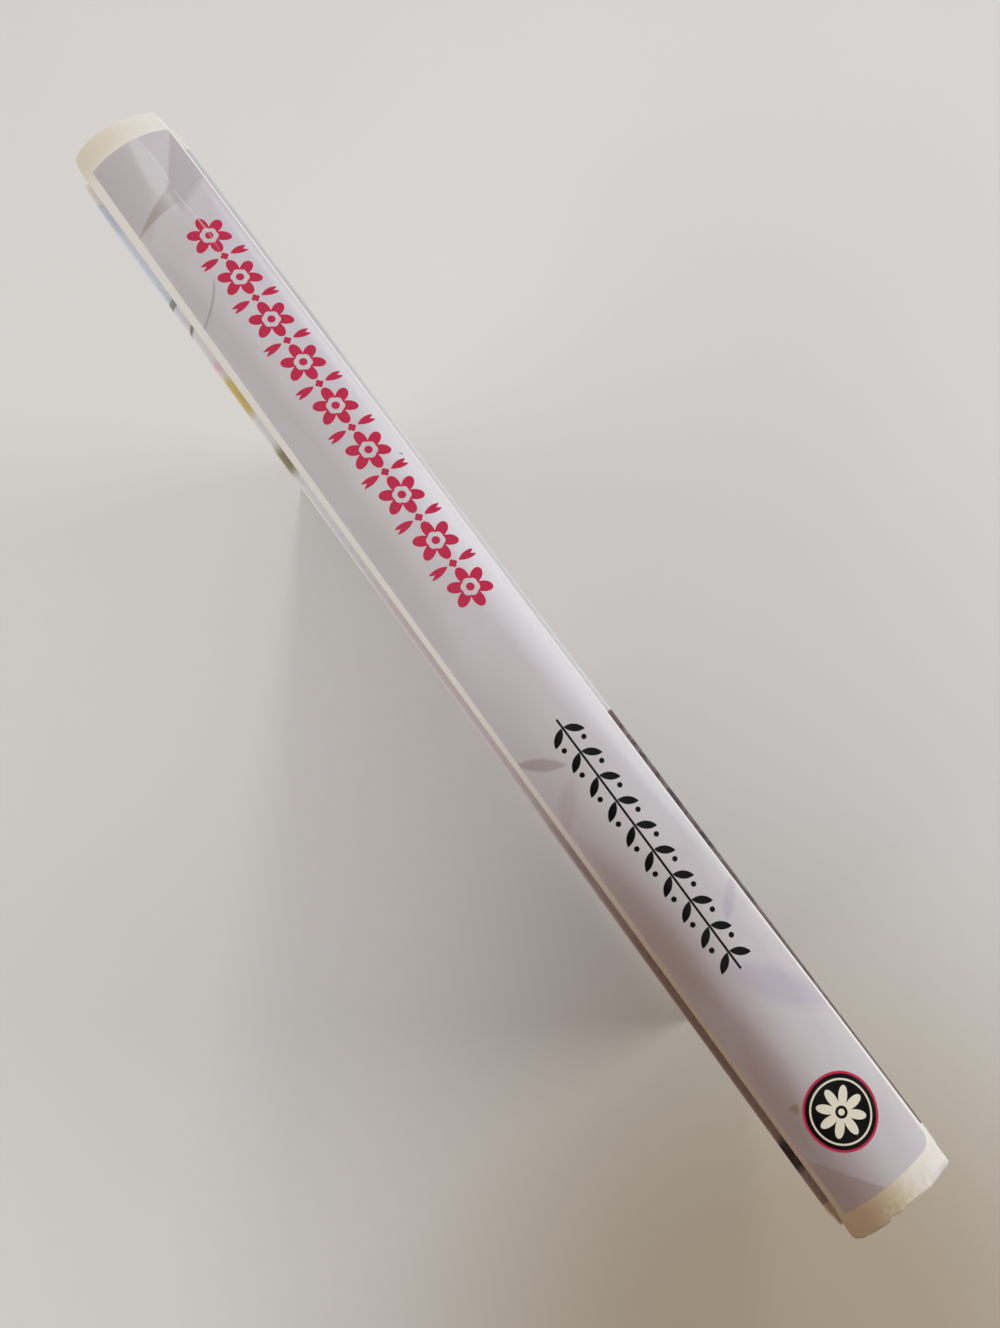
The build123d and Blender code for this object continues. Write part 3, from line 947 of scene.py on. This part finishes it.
def back_picture(n, place, x):
    """Pastel picture of the back cover: soft fields from pale blue at the head to brown mauve at the tail, large
    petals, thin stems and one open flower."""
    drift = x + (n.noise(place, 0.03, 4, 0.55) - 0.5) * 30
    colour = n.mix(n.step(-96, -84, drift), (217, 221, 229), (226, 225, 225))
    colour = n.mix(n.step(-45, 5, drift), colour, (214, 203, 203))
    colour = n.mix(n.step(15, 74, drift), colour, (132, 106, 94))
    colour = n.mix(n.step(-108, -113, x) * 0.3, colour, (176, 180, 198))
    petals = [
        ((-73.4, -22, 91, 40, 2.8, 1.6), 0.85, (228, 192, 202)),
        ((-66.6, -30, 86, 52, 12, 1.6), 0.9, (214, 193, 116)),
        ((-49.6, -30, 87, 50, 7.8, 1.6), 0.85, (146, 136, 88)),
        ((-40, -96, 150, 90, 26, 1.6), 0.7, (226, 186, 196)),
        ((-70, -112, 30, 84, 24, 1.6), 0.8, (205, 212, 226)),
        ((-14, -76, 40, 70, 20, 1.6), 0.7, (228, 208, 140)),
        ((20, -120, 115, 80, 26, 1.6), 0.6, (214, 190, 206)),
        ((60, -70, 20, 76, 24, 1.6), 0.6, (190, 172, 170)),
        ((80, -140, 160, 84, 30, 1.6), 0.5, (120, 98, 94)),
        ((-84.4, -17, -42, 7, 0.8, 0.3), 0.8, (120, 92, 56)),
    ]
    colour = n.laid(colour, *((petal_at(n, place, *shape), share, tint) for shape, share, tint in petals))
    stems = [(stem_at(n, place, at, y, radius, 0.5, 0.5) * (x > at), 0.7, (112, 112, 74))
             for at, y, radius in ((-113.4, -30, 26), (-58, -150, 60), (30, -110, 80))]
    return n.laid(
        colour, *stems, (petal_at(n, place, 110.2, -18, 92, 22, 6, 1.2), 0.92, (40, 27, 24)),
        (flower_at(n, place, 24, 7, 0.3, -48, -150, 0.4), 0.8, (230, 200, 208)),
        (flower_at(n, place, 7, 9, 0.15, -48, -150, 0.4), 0.85, (220, 194, 96)),
    )


def front_picture(n, place, x, s):
    """Picture of the front cover: a pale field, a grey-brown mottled field, and one large open flower."""
    mottle = n.noise(place, 0.28, 6, 0.65, 0.6)
    slow = n.noise(place, 0.04, 4, 0.6)
    dark = n.mix(n.step(0.38, 0.66, mottle), (84, 74, 80), (156, 140, 140))
    dark = n.mix(n.step(0.4, 0.62, slow), dark, (118, 100, 100))
    pale = n.mix(n.step(0.3, 0.7, slow), (200, 198, 201), (210, 208, 210))
    pale = n.mix(n.step(-75, -40, x) * 0.7, pale, (220, 218, 220))
    colour = n.mix(n.step(28.2, 28.8, x + n.step(40, 120, s) * 18), pale, dark)
    rings = [
        (44, 12, 0.16, crimson), (41, 12, 0.17, (226, 221, 210)), (30, 8, 0.45, (210, 150, 166)),
        (20, 8, 0.45, crimson), (7, 8, 0, (226, 221, 210)),
    ]
    for size, lobes, notch, tint in rings:
        colour = n.mix(flower_at(n, place, size, lobes, notch, -42, 106, 0.12), colour, tint)
    return colour


def make_plain_paper(name, tone, shade, fibre_scale, rough, relief):
    """Plain paper, card or board: two tones in slow patches, fibre bump."""
    material, n = new_material(name)
    fibre, slow = n.grain(n.object_place(), fibre_scale)
    colour = n.mix(n.step(0.3, 0.7, slow * 0.7 + fibre * 0.3), shade, tone)
    return finished(material, n, Base_Color=colour, Roughness=rough + (fibre - 0.5) * 0.15,
                    Normal=n.bump(fibre, 0.3, relief))


def make_leaf_material():
    """Cut edges of the leaves: warm white, each leaf a little lighter or darker than the next."""
    material, n = new_material("pages")
    across, along, _ = n.split(n.sheet_place())
    lines = n.noise(n.join(across * 9, along * 0.02), 1, 3, 0.6)
    patch = n.noise(n.object_place(), 0.05, 3, 0.5)
    colour = n.mix(n.step(0.32, 0.66, lines * 0.75 + patch * 0.25), (196, 184, 160), (233, 226, 211))
    return finished(material, n, Base_Color=colour, Roughness=0.75, Normal=n.bump(lines, 0.4, 0.0001))


def make_band_material():
    """Headband thread: cream and white wraps in turn."""
    material, n = new_material("headband_thread")
    turn, around, _ = n.split(n.sheet_place())
    stripe = n.step(0.2, 0.8, n.math("PINGPONG", turn * 0.5, 1))
    fibre = n.noise(n.join(turn * 10, around * 3), 1, 3, 0.6)
    colour = n.mix(stripe, (226, 219, 203), (206, 196, 176))
    colour = n.mix(fibre * 0.4, colour, (190, 182, 168), "MULTIPLY")
    return finished(material, n, Base_Color=colour, Roughness=0.6, Sheen_Weight=0.3,
                    Normal=n.bump(fibre, 0.3, 0.0001))


def make_gauze_material():
    """Open cotton gauze, starched with glue: a weave of threads with small dark meshes."""
    material, n = new_material("gauze")
    x, y, z = n.split(n.object_place())
    thread = n.most(*(abs(n.math("SINE", across * 3.1)) for across in (x, z + y)))
    colour = n.mix(n.step(0.4, 0.9, thread), (178, 166, 140), (224, 217, 198))
    return finished(material, n, Base_Color=colour, Roughness=0.85, Normal=n.bump(thread, 0.5, 0.0001))


covering = make_covering_material()
leaf_edges = make_leaf_material()
endpaper = make_plain_paper("endpaper", (231, 226, 215), (226, 220, 208), 4, 0.7, 0.00005)
greyboard = make_plain_paper("greyboard", (150, 142, 130), (120, 112, 100), 1.6, 0.9, 0.0001)
kraft = make_plain_paper("kraft_paper", (176, 140, 98), (150, 116, 78), 3, 0.8, 0.00008)
gauze = make_gauze_material()
thread = make_band_material()

make_spine_covering(covering)
make_spine_card(greyboard)
make_page_block(leaf_edges)
make_headband("head_headband", "head_band", -1, thread)
make_headband("tail_headband", "tail_band", 1, thread)
for cover, side in (("front", 1), ("back", -1)):
    body = f"{cover}_cover"
    piece = make_cover_covering(f"{cover}_covering", side, covering)
    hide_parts(f"{cover}_cover_paper")
    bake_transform(piece)
    piece = make_board(f"{cover}_cover_board", side, greyboard)
    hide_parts(f"{cover}_board")
    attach(piece, body)
    piece = make_pastedown(f"{cover}_pasted_endpaper", side, endpaper)
    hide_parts(f"{cover}_pastedown")
    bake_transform(piece)

own_finish = {
    "spine_liner": kraft, "spine_mull": gauze, "front_hinge_gauze": gauze, "back_hinge_gauze": gauze,
    "front_flyleaf": endpaper, "back_flyleaf": endpaper,
}
for node, finish in own_finish.items():
    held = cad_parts[node].data.materials
    held.clear()
    held.append(finish)


# Floor, light and camera


def make_rectangle(name, width, height, material):
    """Level rectangle about the origin."""
    a, b = width / 2, height / 2
    mesh = bpy.data.meshes.new(name)
    mesh.from_pydata([(-a, -b, 0), (a, -b, 0), (a, b, 0), (-a, b, 0)], [], [(0, 1, 2, 3)])
    mesh.materials.append(material)
    return add_object(name, mesh)


def make_floor():
    """Plain pale table top, with a soft painted shadow, warm and brown, past the book's tail."""
    material, n = new_material("table_top")
    place = n.object_place()
    tone = n.noise(place, 0.004, 3, 0.5)
    colour = n.mix(n.step(0.3, 0.7, tone), (214, 212, 208), (217, 215, 212))
    # Painted shadow round a place past the book's tail
    away = n.add("ShaderNodeVectorMath", operation="DISTANCE")
    n.fill(away.inputs[0], place)
    n.fill(away.inputs[1], painted_shadow_place)
    painted_shadow_mask = n.step(painted_shadow_end, painted_shadow_start, n.out(away, "Value")) ** 1.5
    finished(material, n, Base_Color=n.mix(painted_shadow_mask * painted_shadow_share, colour, painted_shadow_colour), Roughness=0.55)
    floor = make_rectangle("table_top", table_size, table_size, material)


def make_lamp(name, place, aim, size, power, colour, in_gloss=False):
    """Square soft lamp at a place, turned to an aim. Most lamps give no highlight in the film."""
    light = bpy.data.lights.new(name, "AREA")
    light.shape = "SQUARE"
    light.size = size
    light.energy = power
    light.color = colour
    lamp = add_object(name, light)
    lamp.location = place
    lamp.rotation_euler = (Vector(aim) - Vector(place)).to_track_quat("-Z", "Y").to_euler()
    lamp.visible_camera = False
    lamp.visible_glossy = in_gloss


def make_card(name, place, turn, width, height, colour):
    """Card above the book that shades the table and shows in the film, and isn't seen itself."""
    material, n = new_material(name)
    finished(material, n, Base_Color=ink(*colour), Roughness=0.9)
    card = make_rectangle(name, width, height, material)
    card.location = place
    card.rotation_euler = Euler([math.radians(angle) for angle in turn])
    card.visible_camera = False


def make_world():
    """Fill light: a dim even level and soft bright places of the sky, each a smooth step of the direction's dot
    product with its own. What the camera sees past the table is plain and pale."""
    world = bpy.data.worlds.new("fill")
    world.use_nodes = True
    n = Nodes(world.node_tree)
    way = n.out(n.add("ShaderNodeTexCoord"), "Generated")
    level = even_fill
    for to, low, high, bright in sky_places:
        toward = n.add("ShaderNodeVectorMath", operation="DOT_PRODUCT")
        n.fill(toward.inputs[0], way)
        n.fill(toward.inputs[1], tuple(Vector(to).normalized()))
        level += n.step(low, high, n.out(toward, "Value")) * bright
    seen = n.out(n.add("ShaderNodeLightPath"), "Is Camera Ray")
    n.put(world.node_tree.nodes["Background"], Color=n.mix(seen, n.join(level, level, level), backdrop))
    bpy.context.scene.world = world


even_fill = 0.1
sky_places = [
    ((0, 0, 1), 0.8, 0.97, 0.77),
    ((-0.85, 0, 0.53), 0.4, 0.95, 0.34),
    ((-0.5, 0.7, 0.53), 0.4, 0.95, 0.34),
]
backdrop = (0.62, 0.61, 0.595, 1)
table_size = 8
# Painted shadow, warm and brown, on the table past the book's tail: its colour, middle, full reach, outer reach and
# share
painted_shadow_colour = (168, 152, 128)
painted_shadow_place = (235, -50, 0)
painted_shadow_start = 40
painted_shadow_end = 225
painted_shadow_share = 0.88

make_floor()
make_lamp("window", (-1.3, 0.95, 0.85), (0, 0, 0.1), 0.25, 7.2, (1, 0.99, 0.985))
make_lamp("front_fill", (0.42, 0.8, 0.62), (0.03, 0, 0.15), 0.5, 4.3, (0.97, 0.98, 1), in_gloss=True)
make_lamp("back_fill", (-0.3, -0.8, 0.55), (-0.05, 0, 0.1), 1, 5.2, (1, 0.98, 0.965))
make_card("dark_card", (0.079, -0.041, 0.386), (10.1, -0.3, 53.5), 0.075, 0.15, (24, 22, 22))
make_card("brown_card", (0.4, -0.32, 0.5), (35, 0, 53.5), 0.4, 0.5, (120, 78, 50))
make_world()

# Camera at the photograph's viewing angle; the picture is 1000 pixels wide and 1328 high
picture_width = 1000
picture_height = 1328
focal_pixels = 1000
sensor = 36
centre_x = 554.3
centre_y = 645.1
camera_data = bpy.data.cameras.new("camera")
camera_data.sensor_width = sensor
camera_data.lens = sensor * focal_pixels / picture_height
camera_data.shift_x = -(centre_x - picture_width / 2) / picture_height
camera_data.shift_y = (centre_y - picture_height / 2) / picture_height
camera_data.clip_start = 0.01
camera = add_object("camera", camera_data)
camera.location = (0.03873, -0.01092, 0.37692)
camera.rotation_euler = Euler([math.radians(a) for a in (10.1435, -0.3294, 53.5181)])
bpy.context.scene.camera = camera
bpy.context.scene.view_settings.view_transform = "Standard"
